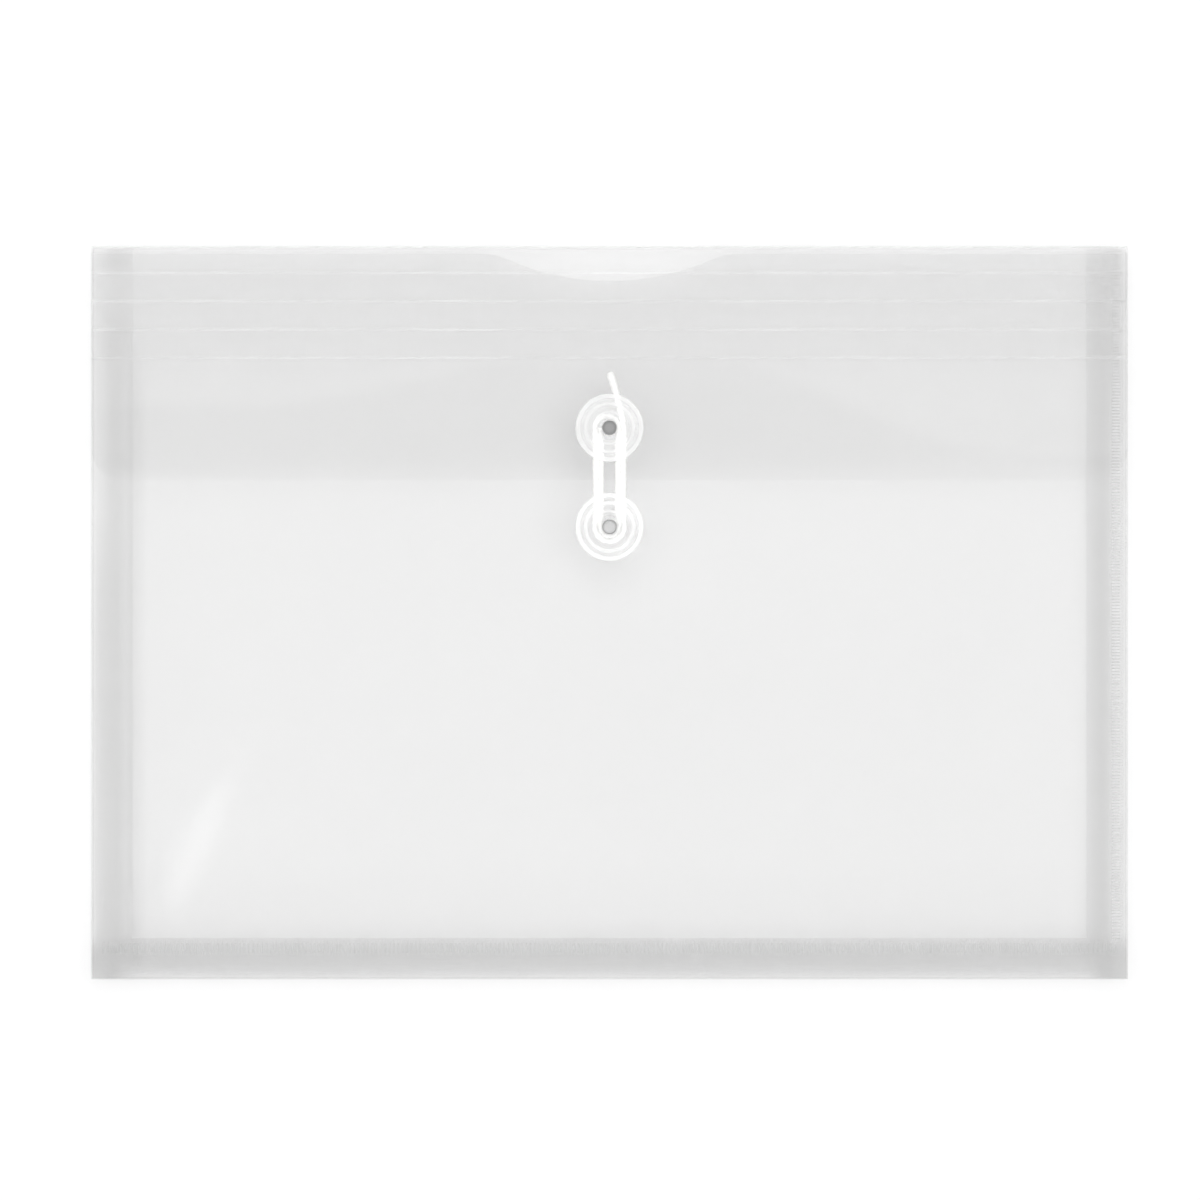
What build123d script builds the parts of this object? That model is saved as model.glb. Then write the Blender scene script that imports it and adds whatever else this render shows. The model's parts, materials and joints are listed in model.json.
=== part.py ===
"""String tie envelope of clear film: pleated pocket, scored flap, two discs and a wound string.

It lies on its back panel: X is the width, +Y points at the top fold, +Z comes out of the front.
The origin is under the middle of the back panel. All sizes are in millimetres.
"""

import math
import os

from build123d import *

os.makedirs("parts", exist_ok=True)

# Film and outline
film_t = 0.25
envelope_width = 330.0
envelope_height = 233.3
corner_r = 1.5
fold_gap = 0.1

# Pleats of the sides and the bottom
pleat_width = 14.0
pleat_angle = 10.0
mitre_gap = 0.3

# Welded tabs behind the front panel
right_lap_width = 4.0
bottom_lap_width = 11.5

# Mouth of the pocket
mouth_setback = 2.5
notch_width = 72.5
notch_depth = 8.6
notch_end_r = 12.0

# Flap
flap_length = 74.5
flap_corner_r = 10.0
flap_side_inset = 0.3
flap_clearance = 1.2
score_count = 4
first_score = 8.6
score_pitch = 9.0
score_width = 0.8
score_depth_share = 0.4

# Discs
flap_disc_drop = 57.9
disc_spacing = 31.5
disc_r = 10.8
disc_t = 0.9
disc_edge_r = 0.3
rim_width = 1.5
rim_height = 0.45
ring_r = 7.6
ring_width = 0.9
ring_height = 0.3
crown_r = 5.0
crown_height = 0.6
hub_r = 1.55

# Rivets and washers
shank_r = 1.0
head_r = 2.4
head_height = 0.75
tail_r = 1.9
tail_t = 0.35
tail_edge_r = 0.12
tube_bore_r = 0.6
tube_bore_depth = 1.4
washer_r = 4.0
washer_t = 0.25
spin_clearance = 0.06

# String
string_d = 1.8
string_clearance = 0.15
hub_clearance = 0.05
turn_gap = 0.45
tail_bend_r = 27.0
tail_turn = 20.0
tail_end_length = 9.15
gap_sample_step = 0.25

# Places worked out from the sizes above
half_width = envelope_width / 2
half_height = envelope_height / 2
pleat_rise = pleat_width * math.sin(math.radians(pleat_angle))
fold_inset = film_t / 2
fold_x = half_width - fold_inset
fold_y = half_height - fold_inset
back_fold_z = film_t + fold_gap + film_t / 2
front_fold_z = back_fold_z + 2 * pleat_rise
front_bottom_z = front_fold_z + film_t / 2 + fold_gap
front_top_z = front_bottom_z + film_t
mouth_y = half_height - mouth_setback
flap_bottom_z = front_top_z + flap_clearance
flap_top_z = flap_bottom_z + film_t
flap_fold_z = flap_bottom_z + film_t / 2
flap_edge_y = half_height - flap_length
flap_half_width = half_width - flap_side_inset
crease_relief = film_t + fold_gap
leaf_relief = crease_relief / math.sin(math.radians(2 * pleat_angle))
lap_inset = fold_inset + film_t / math.tan(math.radians(pleat_angle))
flap_disc_y = half_height - flap_disc_drop
pocket_disc_y = flap_disc_y - disc_spacing
string_z = flap_top_z + string_clearance + string_d / 2
disc_bottom_z = string_z + string_d / 2 + string_clearance
disc_top_z = disc_bottom_z + disc_t
crown_top_z = disc_top_z + crown_height
bore_r = shank_r + spin_clearance
inner_turn_r = hub_r + hub_clearance + string_d / 2
outer_turn_r = inner_turn_r + string_d + turn_gap


def leaf_plane(along, inward, fold, rise_sign):
    """The middle plane of a leaf: x runs along its fold, y runs in from the fold across the leaf."""
    slope = math.radians(pleat_angle)
    across = inward * math.cos(slope) + Vector(0, 0, rise_sign * math.sin(slope))
    return Plane(origin=fold, x_dir=along, z_dir=along.cross(across))


def side_leaf(side, fold_z, rise_sign, width):
    """A leaf of a side pleat, cut at 45 degrees where it meets the bottom pleat."""
    plane = leaf_plane(Vector(0, 1, 0), Vector(-side, 0, 0), Vector(side * fold_x, 0, fold_z), rise_sign)
    foot_y = -fold_y + mitre_gap
    with BuildPart() as leaf:
        with BuildSketch(plane):
            with BuildLine():
                Polyline((foot_y, 0), (mouth_y, 0), (mouth_y, width), (foot_y + width, width), close=True)
            make_face()
        extrude(amount=film_t / 2, both=True)
    return leaf.part


def bottom_leaf(fold_z, rise_sign, width):
    """A leaf of the bottom pleat, cut at 45 degrees at both ends."""
    plane = leaf_plane(Vector(1, 0, 0), Vector(0, 1, 0), Vector(0, -fold_y, fold_z), rise_sign)
    end_x = fold_x - mitre_gap
    with BuildPart() as leaf:
        with BuildSketch(plane):
            with BuildLine():
                Polyline((-end_x, 0), (end_x, 0), (end_x - width, width), (width - end_x, width), close=True)
            make_face()
        extrude(amount=film_t / 2, both=True)
    return leaf.part


def turned_plane(centre_y):
    """The upright plane through a rivet's axis, with its x as the radius and its y as the height."""
    return Plane(origin=(0, centre_y, 0), x_dir=(1, 0, 0), z_dir=(0, -1, 0))


def rivet_axis(centre_y):
    return Axis((0, centre_y, 0), (0, 0, 1))


def string_disc(centre_y, seat_z):
    """A ringed disc with the hub under it that the string is wound round."""
    ring_outer = ring_r + ring_width / 2
    ring_inner = ring_r - ring_width / 2
    rim_inner = disc_r - rim_width
    hub_foot_z = seat_z + spin_clearance
    with BuildPart() as disc:
        with BuildSketch(turned_plane(centre_y)):
            with BuildLine():
                Polyline(
                    (bore_r, hub_foot_z),
                    (hub_r, hub_foot_z),
                    (hub_r, disc_bottom_z),
                    (disc_r, disc_bottom_z),
                    (disc_r, disc_top_z + rim_height),
                    (rim_inner, disc_top_z + rim_height),
                    (rim_inner, disc_top_z),
                    (ring_outer, disc_top_z),
                    (ring_outer, disc_top_z + ring_height),
                    (ring_inner, disc_top_z + ring_height),
                    (ring_inner, disc_top_z),
                    (crown_r, disc_top_z),
                    (crown_r, crown_top_z),
                    (bore_r, crown_top_z),
                    close=True,
                )
            make_face()
        revolve(axis=rivet_axis(centre_y))
        outer_edges = disc.edges().filter_by(GeomType.CIRCLE).group_by(SortBy.RADIUS)[-1]
        fillet(outer_edges, disc_edge_r)
    return disc.part


def tubular_rivet(centre_y, film_bottom_z):
    """A rivet with a domed head over the disc and a tubular tail rolled out under the washer."""
    head_seat_z = crown_top_z + spin_clearance
    tail_top_z = film_bottom_z - washer_t
    tail_bottom_z = tail_top_z - tail_t
    with BuildPart() as rivet:
        with BuildSketch(turned_plane(centre_y)):
            with BuildLine():
                Polyline(
                    (0, head_seat_z + head_height),
                    (0, tail_bottom_z + tube_bore_depth),
                    (tube_bore_r, tail_bottom_z + tube_bore_depth),
                    (tube_bore_r, tail_bottom_z),
                    (tail_r, tail_bottom_z),
                    (tail_r, tail_top_z),
                    (shank_r, tail_top_z),
                    (shank_r, head_seat_z),
                    (head_r, head_seat_z),
                )
                dome_r = (head_r**2 + head_height**2) / (2 * head_height)
                dome_centre_z = head_seat_z + head_height - dome_r
                half_angle = math.asin(head_r / dome_r) / 2
                ThreePointArc(
                    (head_r, head_seat_z),
                    (dome_r * math.sin(half_angle), dome_centre_z + dome_r * math.cos(half_angle)),
                    (0, head_seat_z + head_height),
                )
            make_face()
        revolve(axis=rivet_axis(centre_y))
        tail_edges = rivet.edges().filter_by(GeomType.CIRCLE).group_by(Axis.Z)[0]
        fillet(tail_edges.sort_by(SortBy.RADIUS)[-1], tail_edge_r)
    return rivet.part


def rivet_washer(centre_y, film_bottom_z):
    with BuildPart() as washer:
        with BuildSketch(Plane.XY.offset(film_bottom_z)):
            with Locations((0, centre_y)):
                Circle(washer_r)
                Circle(bore_r, mode=Mode.SUBTRACT)
        extrude(amount=-washer_t)
    return washer.part


# Back panel
with BuildPart() as back_panel:
    with BuildSketch():
        Rectangle(envelope_width, envelope_height)
    extrude(amount=film_t)
    fillet(back_panel.edges().filter_by(Axis.Z), corner_r)

# Front panel, with the thumb notch in its top edge and the rivet's hole
with BuildPart() as front_panel:
    with BuildSketch(Plane.XY.offset(front_bottom_z)) as front_outline:
        with BuildLine():
            Polyline(
                (-notch_width / 2, mouth_y),
                (-half_width, mouth_y),
                (-half_width, -half_height),
                (half_width, -half_height),
                (half_width, mouth_y),
                (notch_width / 2, mouth_y),
            )
            ThreePointArc((notch_width / 2, mouth_y), (0, mouth_y - notch_depth), (-notch_width / 2, mouth_y))
        make_face()
        foot_corners = front_outline.vertices().group_by(Axis.Y)[0]
        fillet(foot_corners, corner_r)
        notch_corners = front_outline.vertices().group_by(Axis.Y)[-1].sort_by(Axis.X)[1:3]
        fillet(notch_corners, notch_end_r)
        with Locations((0, pocket_disc_y)):
            Circle(bore_r, mode=Mode.SUBTRACT)
    extrude(amount=film_t)

# Welded tabs on the inside of the front panel
lap_y = bottom_lap_width + lap_inset - half_height
with BuildPart() as right_weld_lap:
    with BuildSketch(Plane.XY.offset(front_bottom_z)):
        with Locations((half_width - lap_inset, lap_y + mitre_gap)):
            lap_height = mouth_y - lap_y - mitre_gap
            Rectangle(right_lap_width, lap_height, align=(Align.MAX, Align.MIN))
    extrude(amount=-film_t)

with BuildPart() as bottom_weld_lap:
    with BuildSketch(Plane.XY.offset(front_bottom_z)):
        with Locations((0, lap_y)):
            Rectangle(envelope_width - 2 * lap_inset, bottom_lap_width, align=(Align.CENTER, Align.MAX))
    extrude(amount=-film_t)

# Spine between the two creases of the top fold
with BuildPart() as flap_spine:
    with BuildSketch(Plane.XY.offset(back_fold_z)):
        with Locations((0, half_height)):
            Rectangle(2 * flap_half_width, film_t, align=(Align.CENTER, Align.MAX))
    extrude(amount=flap_fold_z - back_fold_z - crease_relief)

# Flap, with its score lines pressed into the outer face and the rivet's hole
with BuildPart() as flap_panel:
    with BuildSketch(Plane.XY.offset(flap_bottom_z)) as flap_outline:
        with Locations((0, fold_y)):
            Rectangle(2 * flap_half_width, fold_y - flap_edge_y, align=(Align.CENTER, Align.MAX))
        fillet(flap_outline.vertices().group_by(Axis.Y)[0], flap_corner_r)
        with Locations((0, flap_disc_y)):
            Circle(bore_r, mode=Mode.SUBTRACT)
    extrude(amount=film_t)
    with BuildSketch(Plane.YZ) as score_profile:
        score_depth = score_depth_share * film_t
        for index in range(score_count):
            score_y = half_height - first_score - index * score_pitch
            with BuildLine():
                Polyline(
                    (score_y - score_width / 2, flap_top_z),
                    (score_y, flap_top_z - score_depth),
                    (score_y + score_width / 2, flap_top_z),
                    close=True,
                )
            make_face()
    extrude(amount=envelope_width, both=True, mode=Mode.SUBTRACT)

# String: two turns round both hubs in one plane, then the free tail
with BuildPart() as tie_string:
    with BuildLine(Plane.XY.offset(string_z)) as string_route:
        Line((-inner_turn_r, flap_disc_y), (-inner_turn_r, pocket_disc_y))
        ThreePointArc(
            (-inner_turn_r, pocket_disc_y),
            (0, pocket_disc_y - inner_turn_r),
            (inner_turn_r, pocket_disc_y),
        )
        Line((inner_turn_r, pocket_disc_y), (inner_turn_r, flap_disc_y))
        over_r = (inner_turn_r + outer_turn_r) / 2
        ThreePointArc(
            (inner_turn_r, flap_disc_y),
            (inner_turn_r - over_r, flap_disc_y + over_r),
            (-outer_turn_r, flap_disc_y),
        )
        Line((-outer_turn_r, flap_disc_y), (-outer_turn_r, pocket_disc_y))
        ThreePointArc(
            (-outer_turn_r, pocket_disc_y),
            (0, pocket_disc_y - outer_turn_r),
            (outer_turn_r, pocket_disc_y),
        )
        Line((outer_turn_r, pocket_disc_y), (outer_turn_r, flap_disc_y))
        tail_bend = JernArc(
            start=(outer_turn_r, flap_disc_y),
            tangent=(0, 1),
            radius=tail_bend_r,
            arc_size=tail_turn,
        )
        Line(tail_bend @ 1, tail_bend @ 1 + tail_end_length * (tail_bend % 1))
    with BuildSketch(Plane(origin=string_route.line @ 0, z_dir=string_route.line % 0)):
        Circle(string_d / 2)
    sweep()

# Names and files
pieces = {
    "back_panel": back_panel.part,
    "front_panel": front_panel.part,
    "left_back_leaf": side_leaf(-1, back_fold_z, 1, pleat_width - leaf_relief),
    "left_front_leaf": side_leaf(-1, front_fold_z, -1, pleat_width),
    "right_back_leaf": side_leaf(1, back_fold_z, 1, pleat_width - leaf_relief),
    "right_front_leaf": side_leaf(1, front_fold_z, -1, pleat_width),
    "bottom_back_leaf": bottom_leaf(back_fold_z, 1, pleat_width - leaf_relief),
    "bottom_front_leaf": bottom_leaf(front_fold_z, -1, pleat_width),
    "right_weld_lap": right_weld_lap.part,
    "bottom_weld_lap": bottom_weld_lap.part,
    "flap_spine": flap_spine.part,
    "flap_panel": flap_panel.part,
    "flap_disc": string_disc(flap_disc_y, flap_top_z),
    "flap_rivet": tubular_rivet(flap_disc_y, flap_bottom_z),
    "flap_washer": rivet_washer(flap_disc_y, flap_bottom_z),
    "pocket_disc": string_disc(pocket_disc_y, front_top_z),
    "pocket_rivet": tubular_rivet(pocket_disc_y, front_bottom_z),
    "pocket_washer": rivet_washer(pocket_disc_y, front_bottom_z),
    "tie_string": tie_string.part,
}
for name, piece in pieces.items():
    piece.label = name
    export_step(piece, f"parts/{name}.step")

# Figures for the report: the string's bends, its length and its least gap to itself
route = string_route.wire()
sample_count = int(route.length / gap_sample_step)
samples = [route @ (index / sample_count) for index in range(sample_count + 1)]
near_count = int(2 * string_d / gap_sample_step)
least = min(
    (samples[i] - samples[j]).length
    for i in range(len(samples))
    for j in range(i + near_count, len(samples))
)
print("string radii", inner_turn_r, over_r, outer_turn_r, tail_bend_r)
print("string length", round(route.length, 2), "least gap to itself", round(least - string_d, 3))
tube_volume = math.pi * string_d**2 / 4 * route.length
print("string volume", round(tie_string.part.volume, 2), "section times length", round(tube_volume, 2))
print("folds z", back_fold_z, round(front_fold_z, 4), round(flap_fold_z, 4), "x", fold_x, "y", fold_y)
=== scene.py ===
"""Looks of the string tie envelope: clear film, welded seams, ringed discs, rivets and a wound string.

Everything is in metres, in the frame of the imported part: X is the width, +Y points at the top fold
and +Z comes out of the front.
"""

import json
import math

import bmesh
import bpy
from mathutils import Matrix, Vector


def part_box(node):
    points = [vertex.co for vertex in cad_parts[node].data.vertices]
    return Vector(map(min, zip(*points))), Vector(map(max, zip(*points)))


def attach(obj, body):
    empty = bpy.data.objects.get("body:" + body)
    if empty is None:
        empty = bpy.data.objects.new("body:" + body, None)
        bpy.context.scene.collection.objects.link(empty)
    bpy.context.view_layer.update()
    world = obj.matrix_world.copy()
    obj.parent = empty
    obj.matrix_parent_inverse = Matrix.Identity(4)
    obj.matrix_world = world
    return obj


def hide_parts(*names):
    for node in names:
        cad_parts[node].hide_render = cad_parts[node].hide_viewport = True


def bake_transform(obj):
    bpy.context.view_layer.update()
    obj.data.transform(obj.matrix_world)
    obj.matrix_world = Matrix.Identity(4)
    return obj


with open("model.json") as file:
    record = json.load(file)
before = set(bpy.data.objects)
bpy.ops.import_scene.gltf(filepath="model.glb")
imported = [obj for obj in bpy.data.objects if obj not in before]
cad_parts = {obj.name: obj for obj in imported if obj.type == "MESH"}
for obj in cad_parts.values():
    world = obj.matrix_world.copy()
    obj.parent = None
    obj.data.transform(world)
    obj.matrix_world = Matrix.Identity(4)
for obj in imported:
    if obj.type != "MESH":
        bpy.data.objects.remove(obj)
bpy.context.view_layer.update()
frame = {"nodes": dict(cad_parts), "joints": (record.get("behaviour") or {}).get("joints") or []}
nodes = frame["nodes"]
fold = {joint["name"]: Vector(joint["pos_m"]) for joint in frame["joints"]}

mm = 0.001

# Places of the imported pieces
back_low, back_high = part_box("back_panel")
front_low, front_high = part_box("front_panel")
flap_low, flap_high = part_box("flap_panel")
spine_low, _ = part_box("flap_spine")
string_low, string_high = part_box("tie_string")
half_width, half_height = back_high.x, back_high.y
film_t = back_high.z - back_low.z
mouth_y = front_high.y
flap_disc_y = fold["flap_disc_spin"].y
pocket_disc_y = fold["pocket_disc_spin"].y

# Sizes of the film pieces
corner_r = 1.5 * mm
notch_half = 36.25 * mm
notch_depth = 8.6 * mm
notch_ease = 2.8 * mm
flap_corner_r = 10 * mm
film_mesh = 6 * mm
front_wave = 0.16 * mm
flap_wave = 0.14 * mm
top_bend_r = 1.2 * mm
foot_bend_r = 0.35 * mm
first_score = 8.6 * mm
score_pitch = 9 * mm
score_half = 0.4 * mm
score_press = 0.006 * mm
score_count = 4
buckle_foot = Vector((-144, -103)) * mm
buckle_tip = Vector((-117, -42)) * mm
buckle_height = 0.3 * mm
buckle_half = 6 * mm
pleat_slope = math.radians(10)
pleat_width = 14 * mm
pleat_shade_width = 16 * mm
inner_stop = 1.023 * mm
mitre_gap = 0.02 * mm
leaf_bow = 0.25 * mm
leaf_clear = 0.4 * mm
sharp_angle = math.radians(38)

# Sizes of the welded seams
right_weld_x = 161.1 * mm
right_tick = Vector((2.5, 0.5, 0.12)) * mm
right_pitch = 1.0 * mm
bottom_weld_y = -106.7 * mm
bottom_tick = Vector((0.7, 3.1, 0.12)) * mm
bottom_pitch = 1.4 * mm
tick_round = 0.05 * mm
weld_margin = 3 * mm

# Sizes of the discs and rivets
disc_r = 10.8 * mm
disc_t = 0.9 * mm
rim_width = 1.5 * mm
rim_height = 0.45 * mm
ring_r = 7.6 * mm
ring_half = 0.45 * mm
ring_height = 0.3 * mm
crown_r = 5 * mm
hub_r = 1.55 * mm
bore_r = 1.06 * mm
disc_round = 0.12 * mm
shank_r = 1.0 * mm
head_r = 2.4 * mm
tail_r = 1.9 * mm
tail_t = 0.35 * mm
head_seat = 0.06 * mm
dish_r = 1.7 * mm
rivet_round = 0.04 * mm
rivet_steps = 48
disc_steps = 80

# Sizes of the string
string_z = (string_high.z + string_low.z) / 2
yarn_d = 2.0 * mm
inner_turn_r = 2.65 * mm
over_turn_r = 3.575 * mm
outer_turn_r = 4.5 * mm
string_lay = 6.5 * mm
string_step = 0.3 * mm
ply_count = 3
ply_depth = 0.06
tail_flare = 0.3
tip_share = 0.6

# Floor, light and camera
floor_half = 4
floor_drop = 0.2 * mm
softbox_size = 1.0
softbox_power = 11.4
camera_height = 2.0
view_width = 381.84 * mm
view_x, view_y = -3.02 * mm, 4.06 * mm


class Wire:
    """A shader socket that can stand in a sum."""

    def __init__(self, tree, socket):
        self.tree = tree
        self.socket = socket

    def _sum(self, operation, first, second):
        return self.tree.add("ShaderNodeMath", {0: first, 1: second}, operation=operation)

    def __add__(self, other):
        return self._sum("ADD", self, other)

    def __sub__(self, other):
        return self._sum("SUBTRACT", self, other)

    def __rsub__(self, other):
        return self._sum("SUBTRACT", other, self)

    def __mul__(self, other):
        return self._sum("MULTIPLY", self, other)

    def __truediv__(self, other):
        return self._sum("DIVIDE", self, other)

    def __pow__(self, other):
        return self._sum("POWER", self, other)

    def __abs__(self):
        return self._sum("ABSOLUTE", self, 0)

    __radd__ = __add__
    __rmul__ = __mul__


class Tree:
    """A node tree that nodes are added to one at a time."""

    def __init__(self, owner):
        owner.use_nodes = True
        self.nodes = owner.node_tree.nodes
        self.links = owner.node_tree.links
        self.nodes.clear()

    def add(self, kind, inputs=None, output=0, stops=None, **settings):
        node = self.nodes.new(kind)
        for name, value in settings.items():
            setattr(node, name, value)
        if stops:
            for index, (place, level) in enumerate(stops):
                elements = node.color_ramp.elements
                stop = elements[index] if index < 2 else elements.new(place)
                stop.position = place
                stop.color = (level, level, level, 1)
        for name, value in (inputs or {}).items():
            if isinstance(value, Wire):
                self.links.new(value.socket, node.inputs[name])
            else:
                node.inputs[name].default_value = value
        return Wire(self, node.outputs[output]) if node.outputs else None

    def rise(self, value, low, high):
        """0 below low, 1 above high and a smooth step between them."""
        places = {"Value": value, "From Min": low, "From Max": high}
        return self.add("ShaderNodeMapRange", places, interpolation_type="SMOOTHSTEP")

    def profile(self, value, stops):
        """A smooth line through the stops."""
        return self.add("ShaderNodeValToRGB", {0: value}, stops=stops)

    def place(self):
        """Object coordinates, whole and as x, y and z."""
        whole = self.add("ShaderNodeTexCoord", output="Object")
        parts = [self.add("ShaderNodeSeparateXYZ", {0: whole}, output=axis) for axis in "XYZ"]
        return whole, *parts

    def noise(self, where, scale, detail=2):
        return self.add("ShaderNodeTexNoise", {"Vector": where, "Scale": scale, "Detail": detail})


def grey(level):
    return (level, level, level, 1)


def film_finish(name, veil_of, mirror=0.04, glance=0.9, pebbled=False):
    """Clear film: mostly see-through, faintly milky where veil_of says, and glossy at a slant."""
    material = bpy.data.materials.new(name)
    tree = Tree(material)
    where, x, y, _ = tree.place()
    relief = {}
    if pebbled:
        pebble = tree.noise(where, 700)
        grain = {"Strength": 0.15, "Distance": 0.02 * mm, "Height": pebble}
        relief["Normal"] = tree.add("ShaderNodeBump", grain)
    clear = tree.add("ShaderNodeBsdfTransparent")
    veil, tone = veil_of(tree, where, x, y)
    milky = tree.add("ShaderNodeBsdfPrincipled", {"Base Color": tone, "Roughness": 0.45, **relief})
    shine = tree.add(
        "ShaderNodeBsdfPrincipled",
        {"Base Color": grey(1.0), "Metallic": 1.0, "Roughness": 0.14, **relief},
    )
    slant = tree.add("ShaderNodeLayerWeight", {"Blend": 0.5}, output="Facing")
    sheet = tree.add("ShaderNodeMixShader", {0: veil / (1 - 0.85 * slant), 1: clear, 2: milky})
    film = tree.add("ShaderNodeMixShader", {0: mirror + glance * slant**5, 1: sheet, 2: shine})
    tree.add("ShaderNodeOutputMaterial", {"Surface": film})
    return material


def edge_ease(tree, x, y):
    """Half at the side and bottom folds, 1 a few millimetres in."""
    from_side = half_width - abs(x)
    from_foot = y + half_height
    return 0.5 + 0.5 * tree.rise(from_side, 0.0, 3 * mm) * tree.rise(from_foot, 0.0, 3 * mm)


def closure_shade(tree, x, y):
    """Painted shadow: 1 near the line between the discs, standing in for the shadow of the discs and the
    string, and 0 further off.
    """
    over = abs(y - (flap_disc_y + pocket_disc_y) / 2) - (flap_disc_y - pocket_disc_y) / 2
    over = tree.add("ShaderNodeMath", {0: over, 1: 0.0}, operation="MAXIMUM")
    return tree.rise((x * x + over * over) ** 0.5, 26 * mm, 5 * mm)


def back_veil(tree, where, x, y):
    return 0.004 + 0.002 * tree.noise(where, 18), grey(0.6)


def front_veil(tree, where, x, y):
    """Even and greyer low down, with painted shade beside the left pleat, one long pale painted highlight
    over the buckle and painted shadow round the closure.
    """
    patch = 0.9 + 0.2 * tree.noise(where, 14)
    low_down = 1 + 0.3 * tree.rise(y, -75 * mm, -100 * mm)
    # painted shade: a soft grey band beside the left pleat
    beside = tree.profile((half_width + x) / (20 * mm), [(0.55, 0.0), (0.68, 1.0), (0.9, 0.0)])
    beside = beside * tree.rise(y, 95 * mm, 65 * mm)
    # painted highlight: a long pale streak along the buckle
    line = buckle_tip - buckle_foot
    from_x, from_y = x - buckle_foot.x, y - buckle_foot.y
    along = (from_x * line.x + from_y * line.y) / line.length_squared
    across = (from_x * line.y - from_y * line.x) / line.length
    streak_highlight = tree.rise(46 * mm * along * (1 - along) - abs(across), 0.0, 10 * mm)
    veil = (0.034 * patch * low_down + 0.035 * beside) * edge_ease(tree, x, y)
    return veil + 0.018 * streak_highlight + 0.013 * closure_shade(tree, x, y), 0.35 + 0.6 * streak_highlight


def flap_veil(tree, where, x, y):
    """Clear at the lip and the top fold, greyer where it lies on the front, pale on the score lines, with
    painted shadow round the closure.
    """
    patch = 0.92 + 0.16 * tree.noise(where, 16)
    top_ease = tree.rise(y, 117 * mm, 113 * mm)
    over_mouth = tree.rise(y, 113.6 * mm, 114.4 * mm) * tree.rise(abs(x), 34 * mm, 40 * mm)
    lip_ease = tree.rise(y, 41 * mm, 49 * mm)
    dome_y = 66 * mm + 13 * mm * tree.rise(abs(x), 110 * mm, 25 * mm)
    dome_y = dome_y - 16 * mm * tree.rise(x, 40 * mm, 140 * mm)
    pressed = tree.rise(dome_y - y, -3 * mm, 3 * mm)
    turn = (half_height - first_score - y) / score_pitch
    below = (turn - tree.add("ShaderNodeMath", {0: turn}, operation="ROUND")) * score_pitch
    scored = tree.rise(y, 79 * mm, 80 * mm) * tree.rise(y, 111 * mm, 110 * mm)
    broken = 0.55 + 0.45 * tree.rise(tree.noise(where, 24), 0.35, 0.6)
    pale = (1 - tree.rise(abs(below), 0.25 * mm, 0.6 * mm)) * scored * broken
    dark = tree.rise(below, 0.3 * mm, 0.7 * mm) * tree.rise(below, 1.5 * mm, 0.8 * mm) * scored
    scored_zone = tree.rise(y, 78 * mm, 82 * mm)
    zone = 0.008 + 0.014 * pressed + 0.012 * scored_zone + 0.013 * closure_shade(tree, x, y)
    veil = (zone + 0.024 * over_mouth) * patch * top_ease * lip_ease
    return veil + 0.055 * pale + 0.004 * dark, 0.4 + 0.6 * pale - 0.2 * dark


def left_leaf_shade(tree, where, x, y):
    """Painted shade: dark along the middle of the pleat, thinner near the top and darkest in the lower
    corner.
    """
    across = (half_width + x) / pleat_shade_width
    stops = [(0.0, 0.05), (0.06, 0.35), (0.14, 0.75), (0.3, 1.0), (0.5, 0.95), (0.86, 0.3)]
    shade = tree.profile(across, stops)
    shade = shade * (1 - tree.rise(y, 0.0, 45 * mm) * tree.rise(across, 0.45, 0.0))
    thinner = tree.rise(y, 85 * mm, 104 * mm) * tree.rise(y, 113 * mm, 107 * mm)
    corner = tree.rise(y, -101 * mm, -110 * mm)
    shade = shade * (1 - 0.75 * thinner) * (1 - 0.3 * tree.rise(y, 0.0, 45 * mm))
    return 0.03 * (shade + (1.9 - shade) * corner), grey(0.3)


def right_leaf_shade(tree, where, x, y):
    """Painted shade: dark along the middle of the pleat, with a second dark line near the rim in the upper
    half.
    """
    across = (half_width - x) / pleat_shade_width
    stops = [(0.0, 0.0), (0.13, 0.25), (0.29, 0.5), (0.45, 0.97)]
    stops += [(0.53, 1.0), (0.69, 0.75), (0.86, 0.25)]
    shade = tree.profile(across, stops)
    rim = tree.profile(across, [(0.08, 0.0), (0.22, 1.0), (0.5, 0.0)])
    upper = 0.24 * tree.rise(y, 20 * mm, 60 * mm) + 0.22 * tree.rise(y, 78 * mm, 100 * mm)
    shade = shade * (1 - upper) + 0.55 * rim * tree.rise(y, 30 * mm, 105 * mm)
    corner = tree.rise(y, -101 * mm, -110 * mm)
    return 0.034 * (shade + (1.6 - shade) * corner), grey(0.3)


def bottom_leaf_shade(tree, where, x, y):
    """Painted shade: dark along the middle of the pleat and darkest in both corners."""
    across = (half_height + y) / pleat_shade_width
    stops = [(0.0, 0.05), (0.07, 0.25), (0.15, 0.65), (0.3, 1.0)]
    stops += [(0.45, 1.0), (0.7, 0.8), (0.86, 0.25)]
    shade = tree.profile(across, stops)
    corner = tree.rise(abs(x), 150 * mm, 160 * mm)
    return 0.036 * (shade + (1.6 - shade) * corner), grey(0.3)


def lap_veil(tree, where, x, y):
    return 0.006 + 0.004 * tree.noise(where, 60), grey(0.6)


def crease_veil(tree, where, x, y):
    return 0.025 + 0.01 * tree.noise(where, 120), grey(1.0)


def pleat_veil(tree, where, x, y):
    return 0.006 + 0.002 * tree.noise(where, 120), grey(0.5)


def weld_veil(tree, where, x, y):
    """Paler on the side seam than on the bottom seam, and clear near the side seam's upper end."""
    side = tree.rise(x, 157 * mm, 159 * mm) * tree.rise(y, -105 * mm, -104 * mm)
    pressed = 0.02 + 0.07 * tree.noise(where, 90) + 0.06 * side
    return pressed * (1 - 0.8 * side * tree.rise(y, 40 * mm, 90 * mm)), grey(0.95)


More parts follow.
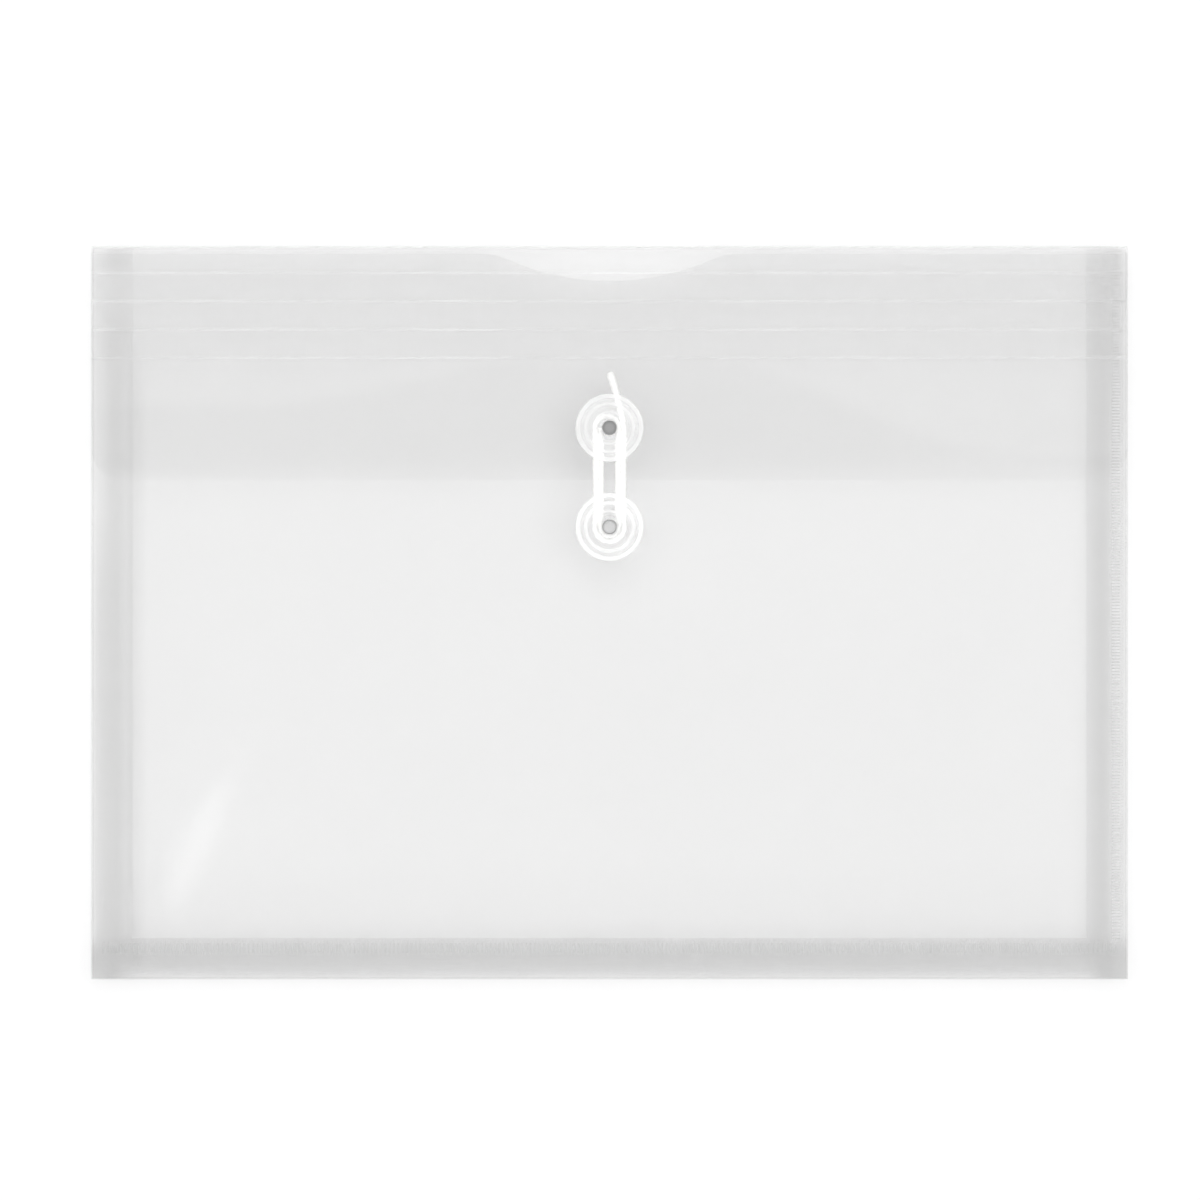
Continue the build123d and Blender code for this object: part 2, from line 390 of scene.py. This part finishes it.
def disc_finish(name, centre_y, plate, raised):
    """Moulded plastic, clearer in the plate than in the rim, the ring and the crown's step."""
    material = bpy.data.materials.new(name)
    tree = Tree(material)
    where, x, y, _ = tree.place()
    radius = (x * x + (y - centre_y) * (y - centre_y)) ** 0.5
    rim = tree.rise(radius, disc_r - rim_width - 0.2 * mm, disc_r - rim_width + 0.2 * mm)
    ring = 1 - tree.rise(abs(radius - ring_r), ring_half, ring_half + 0.3 * mm)
    step = 1 - tree.rise(abs(radius - crown_r), 0.2 * mm, 0.5 * mm)
    cloud = tree.noise(where, 260)
    relief = tree.add("ShaderNodeMath", {0: rim + ring + step, 1: 1.0}, operation="MINIMUM")
    solid = plate + (raised - plate) * relief
    flow = tree.noise(where, 1500)
    bump = tree.add("ShaderNodeBump", {"Strength": 0.2, "Distance": 0.02 * mm, "Height": flow})
    white = 0.93 + 0.05 * cloud
    tint = tree.add("ShaderNodeCombineColor", {0: white, 1: white, 2: white})
    plastic = tree.add(
        "ShaderNodeBsdfPrincipled",
        {"Base Color": tint, "Roughness": 0.25, "Alpha": solid, "Normal": bump},
    )
    tree.add("ShaderNodeOutputMaterial", {"Surface": plastic})
    return material


def washer_finish(name):
    material = bpy.data.materials.new(name)
    tree = Tree(material)
    where, *_ = tree.place()
    cloud = tree.noise(where, 400)
    plastic = tree.add(
        "ShaderNodeBsdfPrincipled",
        {"Base Color": grey(0.9), "Roughness": 0.4, "Alpha": 0.3 + 0.15 * cloud},
    )
    tree.add("ShaderNodeOutputMaterial", {"Surface": plastic})
    return material


def nickel_finish(name, centre_y, rim_tone, heart_tone, heart_matt):
    """Plated rivet metal, brushed by the setting tool, with a heart of its own tone and mattness."""
    material = bpy.data.materials.new(name)
    tree = Tree(material)
    where, x, y, _ = tree.place()
    radius = (x * x + (y - centre_y) * (y - centre_y)) ** 0.5
    heart = tree.rise(radius, 1.3 * dish_r, 0.95 * dish_r)
    scuff = tree.noise(where, 2600, 4)
    tone = rim_tone + (heart_tone - rim_tone) * heart + 0.08 * (scuff - 0.5)
    tint = tree.add("ShaderNodeCombineColor", {0: tone, 1: tone, 2: tone})
    bump = tree.add("ShaderNodeBump", {"Strength": 0.15, "Distance": 0.02 * mm, "Height": scuff})
    metal = tree.add(
        "ShaderNodeBsdfPrincipled",
        {
            "Base Color": tint,
            "Metallic": 1 - heart_matt * heart,
            "Roughness": 0.28 + 0.2 * scuff,
            "Normal": bump,
        },
    )
    tree.add("ShaderNodeOutputMaterial", {"Surface": metal})
    return material


def cotton_finish(name):
    """White cotton yarn with fine fibres."""
    material = bpy.data.materials.new(name)
    tree = Tree(material)
    where, *_ = tree.place()
    fibre = tree.noise(where, 5200, 4)
    lump = tree.noise(where, 900)
    tone = 0.93 + 0.05 * lump + 0.03 * fibre
    tint = tree.add("ShaderNodeCombineColor", {0: tone, 1: tone, 2: tone * 0.99})
    bump = tree.add("ShaderNodeBump", {"Strength": 0.5, "Distance": 0.06 * mm, "Height": fibre})
    yarn = tree.add(
        "ShaderNodeBsdfPrincipled",
        {"Base Color": tint, "Roughness": 0.95, "Sheen Weight": 0.3, "Normal": bump},
    )
    tree.add("ShaderNodeOutputMaterial", {"Surface": yarn})
    return material


def floor_finish(name):
    material = bpy.data.materials.new(name)
    tree = Tree(material)
    where, *_ = tree.place()
    tone = 0.925 + 0.01 * tree.noise(where, 3)
    tint = tree.add("ShaderNodeCombineColor", {0: tone, 1: tone, 2: tone})
    paper = tree.add("ShaderNodeBsdfPrincipled", {"Base Color": tint, "Roughness": 0.9})
    tree.add("ShaderNodeOutputMaterial", {"Surface": paper})
    return material


film_back = film_finish("film_back", back_veil, mirror=0.016, pebbled=True)
film_front = film_finish("film_front", front_veil, pebbled=True)
film_flap = film_finish("film_flap", flap_veil, mirror=0.032, pebbled=True)
# The leaf films carry the painted shade of the pleats and their corners.
film_left_leaf = film_finish("film_left_leaf", left_leaf_shade, mirror=0.012)
film_right_leaf = film_finish("film_right_leaf", right_leaf_shade, mirror=0.012)
film_bottom_leaf = film_finish("film_bottom_leaf", bottom_leaf_shade, mirror=0.012)
film_lap = film_finish("film_lap", lap_veil, mirror=0.012)
film_crease = film_finish("film_crease", crease_veil, mirror=0.025, glance=0.2)
film_pleat = film_finish("film_pleat", pleat_veil, mirror=0.012)
film_weld = film_finish("film_weld", weld_veil)
flap_disc_plastic = disc_finish("flap_disc_plastic", flap_disc_y, 0.205, 0.34)
pocket_disc_plastic = disc_finish("pocket_disc_plastic", pocket_disc_y, 0.11, 0.44)
washer_plastic = washer_finish("washer_plastic")
flap_nickel = nickel_finish("flap_nickel", flap_disc_y, 0.95, 0.95, 0.0)
pocket_nickel = nickel_finish("pocket_nickel", pocket_disc_y, 0.85, 0.64, 0.9)
cotton = cotton_finish("cotton")
floor_paper = floor_finish("floor_paper")


def make_piece(name, bm, finish, body=None, stands_for=()):
    """A finished piece from its mesh, with smooth faces and sharp edges."""
    bmesh.ops.recalc_face_normals(bm, faces=bm.faces[:])
    mesh = bpy.data.meshes.new(name)
    bm.to_mesh(mesh)
    bm.free()
    mesh.materials.append(finish)
    mesh.shade_smooth()
    mesh.set_sharp_from_angle(angle=sharp_angle)
    piece = bpy.data.objects.new(name, mesh)
    bpy.context.scene.collection.objects.link(piece)
    if stands_for:
        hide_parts(*stands_for)
    if body:
        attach(piece, body)
    return piece


def cut_lines(bm, axis, places):
    """Cuts the mesh along lines, so that it can be bent there."""
    for place in places:
        point, normal = Vector(), Vector()
        point[axis] = place
        normal[axis] = 1
        everything = bm.verts[:] + bm.edges[:] + bm.faces[:]
        bmesh.ops.bisect_plane(bm, geom=everything, dist=1e-7, plane_co=point, plane_no=normal)


def spread(low, high, step):
    """Evenly spaced places between low and high, both left out."""
    count = max(1, round((high - low) / step))
    return [low + (high - low) * index / count for index in range(1, count)]


def round_off(bm, geom, affect, offset, segments):
    """Rounds the given edges, or the given corners of a flat face."""
    bmesh.ops.bevel(
        bm,
        geom=geom,
        affect=affect,
        offset=offset,
        offset_type="OFFSET",
        segments=segments,
        profile=0.5,
        material=-1,
    )


def thicken(bm, along):
    """Turns a sheet into a film with the thickness of the vector."""
    made = bmesh.ops.extrude_face_region(bm, geom=bm.faces[:])
    new = [item for item in made["geom"] if isinstance(item, bmesh.types.BMVert)]
    bmesh.ops.translate(bm, verts=new, vec=along)


def smooth_step(value, low, high):
    share = min(1, max(0, (value - low) / (high - low)))
    return share * share * (3 - 2 * share)


def front_sheet():
    """The front panel: eased notch, soft waves, and one long buckle low on the left."""
    bm = bmesh.new()
    right_end = bm.verts.new((notch_half, mouth_y, front_low.z))
    arc_r = (notch_half**2 + notch_depth**2) / (2 * notch_depth)
    arc_centre = (0, mouth_y - notch_depth + arc_r, front_low.z)
    arc_angle = 2 * math.asin(notch_half / arc_r)
    bmesh.ops.spin(bm, geom=[right_end], cent=arc_centre, axis=(0, 0, 1), angle=-arc_angle, steps=24)
    left_end = min(bm.verts, key=lambda vert: vert.co.x)
    left_side = [(-half_width, mouth_y), (-half_width, -half_height)]
    right_side = [(half_width, -half_height), (half_width, mouth_y)]
    corners = [bm.verts.new((x, y, front_low.z)) for x, y in left_side + right_side]
    chain = [left_end, *corners, right_end]
    for start, end in zip(chain, chain[1:]):
        bm.edges.new((start, end))
    bmesh.ops.contextual_create(bm, geom=bm.edges[:])
    round_off(bm, corners[1:3], "VERTICES", corner_r, 4)
    round_off(bm, [left_end, right_end], "VERTICES", notch_ease, 4)
    cut_lines(bm, 0, spread(-half_width, half_width, film_mesh))
    cut_lines(bm, 1, spread(-half_height, mouth_y, film_mesh))
    buckle_line = buckle_tip - buckle_foot
    buckle_side = Vector((buckle_line.y, -buckle_line.x)).normalized()
    for vert in bm.verts:
        x, y = vert.co.x, vert.co.y
        inside = min(half_width - abs(x), y + half_height, mouth_y - y)
        from_disc = math.hypot(x, y - pocket_disc_y)
        hold = smooth_step(inside, 10 * mm, 40 * mm) * smooth_step(from_disc, 12 * mm, 40 * mm)
        wave = math.sin(x / (21 * mm) + y / (34 * mm))
        wave += 0.7 * math.sin(y / (15 * mm) - x / (47 * mm) + 1)
        vert.co.z += front_wave * hold * wave
        along = (Vector((x, y)) - buckle_foot).dot(buckle_line) / buckle_line.length_squared
        across = (Vector((x, y)) - buckle_foot).dot(buckle_side)
        ridge = smooth_step(along, -0.1, 0.5) * (1 - smooth_step(along, 0.85, 1.1))
        vert.co.z += buckle_height * ridge * math.exp(-((across / buckle_half) ** 2))
    thicken(bm, (0, 0, film_t))
    return bm


def flap_sheet():
    """The flap: four pressed score lines, soft waves towards the ends and rounded lower corners."""
    bm = bmesh.new()
    top_y = fold["flap_open"].y - top_bend_r
    side = flap_high.x
    around = [(-side, top_y), (-side, flap_low.y), (side, flap_low.y), (side, top_y)]
    corners = [bm.verts.new((x, y, flap_low.z)) for x, y in around]
    bm.faces.new(corners)
    round_off(bm, corners[1:3], "VERTICES", flap_corner_r, 10)
    scores = [half_height - first_score - index * score_pitch for index in range(score_count)]
    pressed = [score + shift for score in scores for shift in (-score_half, 0, score_half)]
    cut_lines(bm, 1, pressed)
    cut_lines(bm, 1, spread(flap_low.y, scores[-1] - 2 * mm, 5 * mm))
    cut_lines(bm, 0, spread(-side, side, film_mesh))
    for vert in bm.verts:
        x, y = vert.co.x, vert.co.y
        hold = smooth_step(abs(x), 25 * mm, 70 * mm) * (1 - smooth_step(y, 85 * mm, 108 * mm))
        wave = math.sin(x / (24 * mm) + y / (40 * mm)) + 0.6 * math.sin(y / (11 * mm) + x / (38 * mm))
        vert.co.z += flap_wave * hold * wave
        if any(abs(y - score) < 0.01 * mm for score in scores):
            vert.co.z -= score_press
    thicken(bm, (0, 0, film_t))
    return bm


def spine_sheet():
    """The flat of the top fold, between its two bends."""
    bm = bmesh.new()
    low_z = fold["spine_fold"].z
    high_z = fold["flap_open"].z - top_bend_r
    side, inner_y = flap_high.x, fold["flap_open"].y - film_t / 2
    around = [(-side, low_z), (side, low_z), (side, high_z), (-side, high_z)]
    bm.faces.new([bm.verts.new((x, inner_y, z)) for x, z in around])
    cut_lines(bm, 0, spread(-side, side, 30 * mm))
    thicken(bm, (0, film_t, 0))
    return bm


def leaf_sheet(at_fold, along, inward, rise, start, end, mitred):
    """A leaf of a pleat, from its fold inward, slightly bowed. mitred says which ends are cut slantwise."""
    bm = bmesh.new()
    width = pleat_width - inner_stop
    cut = [width * math.cos(pleat_slope) if end_is_cut else 0 for end_is_cut in mitred]
    flat = [(start, 0), (end, 0), (end - cut[1], width), (start + cut[0], width)]
    bm.faces.new([bm.verts.new((u, v, 0)) for u, v in flat])
    cut_lines(bm, 1, spread(0, width, 1.6 * mm))
    cut_lines(bm, 0, spread(start + width, end - width, 20 * mm))
    for vert in bm.verts:
        vert.co.z += leaf_bow * math.sin(math.pi * vert.co.y / width)
    bmesh.ops.translate(bm, verts=bm.verts[:], vec=(0, 0, -film_t / 2))
    thicken(bm, (0, 0, film_t))
    across = inward * math.cos(pleat_slope) + Vector((0, 0, rise * math.sin(pleat_slope)))
    lift = along.cross(across)
    if lift.z < 0:
        lift = -lift
    turn = Matrix((along, across, lift * rise)).transposed().to_4x4()
    bmesh.ops.transform(bm, matrix=Matrix.Translation(at_fold) @ turn, verts=bm.verts[:])
    return bm


def bent_strip(ends, pivot, axis, angle, steps):
    """A bend in the film: the cut end of the film, swung about the pivot."""
    bm = bmesh.new()
    face = bm.faces.new([bm.verts.new(point) for point in ends])
    bmesh.ops.spin(bm, geom=[face], cent=pivot, axis=axis, angle=angle, steps=steps)
    return bm


def turned(profile, corner_ease, centre_y, steps):
    """A turned piece from its outline of radius and height, with eased corners."""
    bm = bmesh.new()
    corners = [bm.verts.new((r, centre_y, z)) for r, z in profile]
    bm.faces.new(corners)
    round_off(bm, [vert for vert in corners if vert.co.x > 0], "VERTICES", corner_ease, 3)
    bmesh.ops.delete(bm, geom=bm.faces[:], context="FACES_ONLY")
    middle = [edge for edge in bm.edges if max(vert.co.x for vert in edge.verts) < 1e-7]
    bmesh.ops.delete(bm, geom=middle, context="EDGES")
    bmesh.ops.spin(
        bm,
        geom=bm.verts[:] + bm.edges[:],
        cent=(0, centre_y, 0),
        axis=(0, 0, 1),
        angle=2 * math.pi,
        steps=steps,
        use_merge=True,
    )
    bmesh.ops.remove_doubles(bm, verts=bm.verts[:], dist=1e-6)
    return bm


def disc_profile(name):
    low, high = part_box(name)
    under = fold[f"{name}_spin"].z
    top = under + disc_t
    rim_in = disc_r - rim_width
    return [
        (bore_r, low.z),
        (hub_r, low.z),
        (hub_r, under),
        (disc_r, under),
        (disc_r, top + rim_height),
        (rim_in, top + rim_height),
        (rim_in, top),
        (ring_r + ring_half, top),
        (ring_r + ring_half, top + ring_height),
        (ring_r - ring_half, top + ring_height),
        (ring_r - ring_half, top),
        (crown_r, top),
        (crown_r, high.z),
        (bore_r, high.z),
    ]


def rivet_profile(name, head):
    """The rivet's outline from the tail up, ending with the given points of its head."""
    low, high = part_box(name)
    _, disc_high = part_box(name.replace("rivet", "disc"))
    seat = disc_high.z + head_seat
    height = high.z - seat
    tail = [
        (0, low.z),
        (tail_r, low.z),
        (tail_r, low.z + tail_t),
        (shank_r, low.z + tail_t),
        (shank_r, seat),
        (head_r, seat),
    ]
    return tail + [(share_r * head_r, seat + share_z * height) for share_r, share_z in head]


def tick_row(first, size, step, count):
    """A row of weld ticks: small pillows, one after the other."""
    bm = bmesh.new()
    bmesh.ops.create_cube(bm, size=1, matrix=Matrix.Diagonal((*size, 1)))
    round_off(bm, bm.edges[:], "EDGES", tick_round, 1)
    bmesh.ops.translate(bm, verts=bm.verts[:], vec=first)
    tick = bm.verts[:] + bm.edges[:] + bm.faces[:]
    for index in range(1, count):
        copy = bmesh.ops.duplicate(bm, geom=tick)["geom"]
        new = [item for item in copy if isinstance(item, bmesh.types.BMVert)]
        bmesh.ops.translate(bm, verts=new, vec=step * index)
    return bm


# Film panels
make_piece("front_film", front_sheet(), film_front, "front", ["front_panel"])
make_piece("flap_film", flap_sheet(), film_flap, "flap", ["flap_panel"])
make_piece("spine_film", spine_sheet(), film_crease, "spine", ["flap_spine"])
nodes["back_panel"].data.materials[0] = film_back
for lap in ("right_weld_lap", "bottom_weld_lap"):
    nodes[lap].data.materials[0] = film_lap
for washer in ("flap_washer", "pocket_washer"):
    nodes[washer].data.materials[0] = washer_plastic

# Pleats: back and front leaf of each side and of the bottom
foot_y = mitre_gap - half_height + film_t / 2
leaf_top = spine_low.y - leaf_clear
end_x = half_width - film_t / 2 - mitre_gap
up, right = Vector((0, 1, 0)), Vector((1, 0, 0))


def pleat(side, along, inward, start, end, mitred, finish):
    """The back leaf and the front leaf of one pleat."""
    back_fold = fold[f"{side}_back_fold"]
    front_fold = Vector((back_fold.x, back_fold.y, fold["left_front_fold"].z))
    for half, at_fold, rise in (("back", back_fold, 1), ("front", front_fold, -1)):
        leaf = leaf_sheet(at_fold, along, inward, rise, start, end, mitred)
        name = f"{side}_{half}"
        make_piece(f"{name}_film", leaf, finish, name, [f"{name}_leaf"])


left, down = -right, -up
pleat("left", up, right, foot_y, leaf_top, (True, False), film_left_leaf)
pleat("right", up, left, foot_y, leaf_top, (True, False), film_right_leaf)
pleat("bottom", right, up, -end_x, end_x, (True, True), film_bottom_leaf)


def outer_bend(name, side, panel_z, fold_z, bodies):
    """The round edge where a panel turns into a leaf. side is the direction that it faces."""
    along = Vector((abs(side.y), abs(side.x), 0))
    low, high = (foot_y, leaf_top) if side.x else (-end_x, end_x)
    edge = side * (half_width if side.x else half_height) - side * film_t / 2
    panel_low, panel_high = panel_z - film_t / 2, panel_z + film_t / 2
    ends = [
        edge + along * place + Vector((0, 0, z))
        for place, z in ((low, panel_low), (high, panel_low), (high, panel_high), (low, panel_high))
    ]
    pivot = edge + Vector((0, 0, (panel_z + fold_z) / 2))
    turn = side.cross(Vector((0, 0, 1))) * (1 if panel_z > fold_z else -1)
    strip = bent_strip(ends, pivot, turn, math.pi, 6)
    piece = make_piece(name, strip, film_crease, bodies[0] if len(bodies) == 1 else None)
    if len(bodies) == 2:
        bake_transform(piece)


def inner_bend(name, at_fold, inward, along, low, high):
    """The round edge deep in a pleat, where its back leaf turns into its front leaf."""
    across = inward * math.cos(pleat_slope) + Vector((0, 0, math.sin(pleat_slope)))
    lift = Vector((0, 0, math.cos(pleat_slope))) - inward * math.sin(pleat_slope)
    stop = at_fold - across * inner_stop
    ends = [
        stop + along * place + lift * height
        for place, height in (
            (low, -film_t / 2),
            (high, -film_t / 2),
            (high, film_t / 2),
            (low, film_t / 2),
        )
    ]
    radius = inner_stop * math.tan(pleat_slope)
    pivot = stop + lift * radius
    turn = inward.cross(Vector((0, 0, 1)))
    strip = bent_strip(ends, pivot, turn, math.pi - 2 * pleat_slope, 6)
    piece = make_piece(name, strip, film_pleat)
    far = stop + lift * 2 * radius
    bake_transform(piece)


# Bends of the film between the panels and the leaves
panel_z = {"back": (back_low.z + back_high.z) / 2, "front": (front_low.z + front_high.z) / 2}
back_fold_z, front_fold_z = fold["left_back_fold"].z, fold["left_front_fold"].z
outer_bend("left_back_bend", left, panel_z["back"], back_fold_z, ["back", "left_back"])
outer_bend("left_front_bend", left, panel_z["front"], front_fold_z, ["front", "left_front"])
outer_bend("right_back_bend", right, panel_z["back"], back_fold_z, ["back", "right_back"])
outer_bend("right_front_bend", right, panel_z["front"], front_fold_z, ["front"])
outer_bend("bottom_back_bend", down, panel_z["back"], back_fold_z, ["back", "bottom_back"])
outer_bend("bottom_front_bend", down, panel_z["front"], front_fold_z, ["front"])
inner_low = foot_y + pleat_width
for side, inward in (("left", right), ("right", left)):
    inner_bend(f"{side}_inner_bend", fold[f"{side}_inner_fold"], inward, up, inner_low, leaf_top)
inner_end = end_x - pleat_width
inner_bend("bottom_inner_bend", fold["bottom_inner_fold"], up, right, -inner_end, inner_end)

# Bends of the top fold, from the back panel to the spine and from the spine to the flap
side = flap_high.x
spine_y, flap_z = fold["flap_open"].y, fold["flap_open"].z
spine_foot_z = fold["spine_fold"].z
bend_y = spine_y - foot_bend_r
ends = [
    (x, bend_y, panel_z["back"] + z)
    for x, z in ((-side, -film_t / 2), (side, -film_t / 2), (side, film_t / 2), (-side, film_t / 2))
]
strip = bent_strip(ends, (0, bend_y, spine_foot_z), (1, 0, 0), math.pi / 2, 5)
foot_bend = make_piece("foot_bend", strip, film_crease)
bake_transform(foot_bend)
bend_z = flap_z - top_bend_r
ends = [
    (x, spine_y + y, bend_z)
    for x, y in ((-side, -film_t / 2), (side, -film_t / 2), (side, film_t / 2), (-side, film_t / 2))
]
strip = bent_strip(ends, (0, spine_y - top_bend_r, bend_z), (1, 0, 0), math.pi / 2, 8)
top_bend = make_piece("top_bend", strip, film_crease)
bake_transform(top_bend)

# Welded seams of the front panel
tick_z = front_high.z + right_tick.z / 4
right_count = int((mouth_y - bottom_weld_y - 2 * weld_margin) / right_pitch)
right_first = Vector((right_weld_x, bottom_weld_y + weld_margin, tick_z))
right_row = tick_row(right_first, right_tick, Vector((0, right_pitch, 0)), right_count)
make_piece("right_weld", right_row, film_weld, "front")
bottom_count = int((2 * half_width - 2 * weld_margin) / bottom_pitch)
bottom_first = Vector((-bottom_pitch * (bottom_count - 1) / 2, bottom_weld_y, tick_z))
bottom_row = tick_row(bottom_first, bottom_tick, Vector((bottom_pitch, 0, 0)), bottom_count)
make_piece("bottom_weld", bottom_row, film_weld, "front")

# Discs and rivets
for name, body, centre_y, finish in (
    ("flap_disc", "flap_button", flap_disc_y, flap_disc_plastic),
    ("pocket_disc", "pocket_button", pocket_disc_y, pocket_disc_plastic),
):
    shape = turned(disc_profile(name), disc_round, centre_y, disc_steps)
    disc = make_piece(f"{name}_moulding", shape, finish, body, [name])
    disc.visible_shadow = False
dome = [(0.98, 0.25), (0.86, 0.55), (0.62, 0.82), (0.32, 0.96), (0, 1)]
dish = [(1, 0.6), (0.93, 0.9), (0.82, 1), (0.72, 0.9), (0.66, 0.62), (0, 0.62)]
for name, body, centre_y, head, finish in (
    ("flap_rivet", "flap", flap_disc_y, dome, flap_nickel),
    ("pocket_rivet", "front", pocket_disc_y, dish, pocket_nickel),
):
    shape = turned(rivet_profile(name, head), rivet_round, centre_y, rivet_steps)
    make_piece(f"{name}_metal", shape, finish, body, [name])


def half_turn(centre_x, centre_y, radius, first_angle):
    """The four points that carry the string half way round a hub."""
    reach = radius / math.cos(math.radians(22.5))
    angles = [math.radians(first_angle + 22.5 + 45 * index) for index in range(4)]
    return [(centre_x + reach * math.cos(a), centre_y + reach * math.sin(a)) for a in angles]


def string_route():
    """The string's points: two turns round both hubs in one plane, then the free tail."""
    ease = math.tan(math.radians(22.5))
    points = [(-inner_turn_r, flap_disc_y)]
    points += [(-inner_turn_r, pocket_disc_y + ease * inner_turn_r)]
    points += half_turn(0, pocket_disc_y, inner_turn_r, 180)
    points += [(inner_turn_r, pocket_disc_y + ease * inner_turn_r)]
    points += [(inner_turn_r, flap_disc_y - ease * over_turn_r)]
    points += half_turn(inner_turn_r - over_turn_r, flap_disc_y, over_turn_r, 0)
    points += [(-outer_turn_r, flap_disc_y - ease * over_turn_r)]
    points += [(-outer_turn_r, pocket_disc_y + ease * outer_turn_r)]
    points += half_turn(0, pocket_disc_y, outer_turn_r, 180)
    points += [(outer_turn_r, pocket_disc_y + ease * outer_turn_r)]
    tail = [(4.6, -6), (4.4, 1.5), (3.1, 7), (2.2, 11), (0.9, 15.2), (0, 17.8)]
    points += [(x * mm, flap_disc_y + y * mm) for x, y in tail]
    return points


def spline_points(points):
    """Points read from the smooth spline that the route's points steer."""
    data = bpy.data.curves.new("string_route", "CURVE")
    data.dimensions = "3D"
    data.resolution_u = 60
    spline = data.splines.new("NURBS")
    spline.points.add(len(points) - 1)
    for point, (x, y) in zip(spline.points, points):
        point.co = (x, y, string_z, 1)
    spline.order_u = 3
    spline.use_endpoint_u = True
    route = bpy.data.objects.new("string_route", data)
    bpy.context.scene.collection.objects.link(route)
    bpy.context.view_layer.update()
    mesh = bpy.data.meshes.new_from_object(route)
    read = [vert.co.copy() for vert in mesh.vertices]
    bpy.data.objects.remove(route)
    kept = read[:1]
    for place in read[1:]:
        if (place - kept[-1]).length > string_step:
            kept.append(place)
    return kept


def twisted_string(path):
    """Three soft plies twisted along the path, with a rounded tip."""
    bm = bmesh.new()
    ring = bmesh.ops.create_circle(bm, cap_ends=True, segments=18, radius=yarn_d / 2)["verts"]
    for vert in ring:
        angle = math.atan2(vert.co.y, vert.co.x)
        vert.co *= 1 - ply_depth + ply_depth * math.cos(ply_count * angle)
    travel = [0]
    for start, end in zip(path, path[1:]):
        travel.append(travel[-1] + (end - start).length)
    before = Matrix.Identity(4)
    face = bm.faces[:][0]
    for index, place in enumerate(path):
        ahead = path[min(index + 1, len(path) - 1)] - path[max(index - 1, 0)]
        ahead.normalize()
        beside = ahead.cross(Vector((0, 0, 1)))
        frame_here = Matrix((beside, Vector((0, 0, 1)), ahead)).transposed().to_4x4()
        left_over = travel[-1] - travel[index]
        wide = 1 + tail_flare * (1 - smooth_step(left_over, 2 * mm, 12 * mm))
        tip = tip_share + (1 - tip_share) * smooth_step(left_over, 0, 0.8 * mm)
        spin = Matrix.Rotation(2 * math.pi * travel[index] / string_lay, 4, "Z")
        spin = spin @ Matrix.Diagonal((tip, tip, 1, 1))
        now = Matrix.Translation(place) @ frame_here @ Matrix.Diagonal((wide, 1, 1, 1)) @ spin
        if index:
            made = bmesh.ops.extrude_face_region(bm, geom=[face])
            if index > 1:
                bmesh.ops.delete(bm, geom=[face], context="FACES_ONLY")
            face = next(item for item in made["geom"] if isinstance(item, bmesh.types.BMFace))
        bmesh.ops.transform(bm, matrix=now @ before.inverted(), verts=face.verts[:])
        before = now
    return bm


string_path = spline_points(string_route())
string = make_piece("string", twisted_string(string_path), cotton, "flap", ["tie_string"])
string.visible_shadow = False

# The room
bm = bmesh.new()
floor_place = Matrix.Translation((0, 0, -floor_drop))
bmesh.ops.create_grid(bm, x_segments=1, y_segments=1, size=floor_half, matrix=floor_place)
floor_mesh = bpy.data.meshes.new("floor")
bm.to_mesh(floor_mesh)
bm.free()
floor_mesh.materials.append(floor_paper)
floor = bpy.data.objects.new("floor", floor_mesh)
bpy.context.scene.collection.objects.link(floor)

world = bpy.data.worlds.new("studio")
bpy.context.scene.world = world
sky = Tree(world)
direction = sky.add("ShaderNodeTexCoord", output="Generated")
height = sky.add("ShaderNodeSeparateXYZ", {0: direction}, output="Z")
level = 0.5 - 0.28 * sky.rise(height, 0.02, 0.25) + 0.21 * sky.rise(height, 0.6, 0.95)
tint = sky.add("ShaderNodeCombineColor", {0: level, 1: level, 2: level})
glow = sky.add("ShaderNodeBackground", {"Color": tint, "Strength": 1.0})
sky.add("ShaderNodeOutputWorld", {"Surface": glow})


def softbox(name, place, size, power):
    data = bpy.data.lights.new(name, "AREA")
    data.shape = "SQUARE"
    data.size = size
    data.energy = power
    lamp = bpy.data.objects.new(name, data)
    lamp.location = place
    lamp.rotation_euler = (-Vector(place)).to_track_quat("-Z", "Y").to_euler()
    lamp.visible_camera = False
    lamp.visible_glossy = False
    bpy.context.scene.collection.objects.link(lamp)


for name, place in (
    ("softbox_left", (-1.3, 0.2, 1.3)),
    ("softbox_right", (1.3, 0.2, 1.3)),
    ("softbox_far", (0, 1.4, 1.3)),
    ("softbox_near", (0, -1.4, 1.3)),
):
    softbox(name, place, softbox_size, softbox_power)

camera_data = bpy.data.cameras.new("camera")
camera_data.sensor_width = 36
camera_data.lens = camera_data.sensor_width * camera_height / view_width
camera = bpy.data.objects.new("camera", camera_data)
camera.location = (view_x, view_y, front_high.z + camera_height)
scene = bpy.context.scene
scene.collection.objects.link(camera)
scene.camera = camera
scene.view_settings.view_transform = "Standard"
scene.cycles.transparent_max_bounces = 64
scene.cycles.max_bounces = 6
scene.cycles.diffuse_bounces = 3
scene.cycles.glossy_bounces = 3
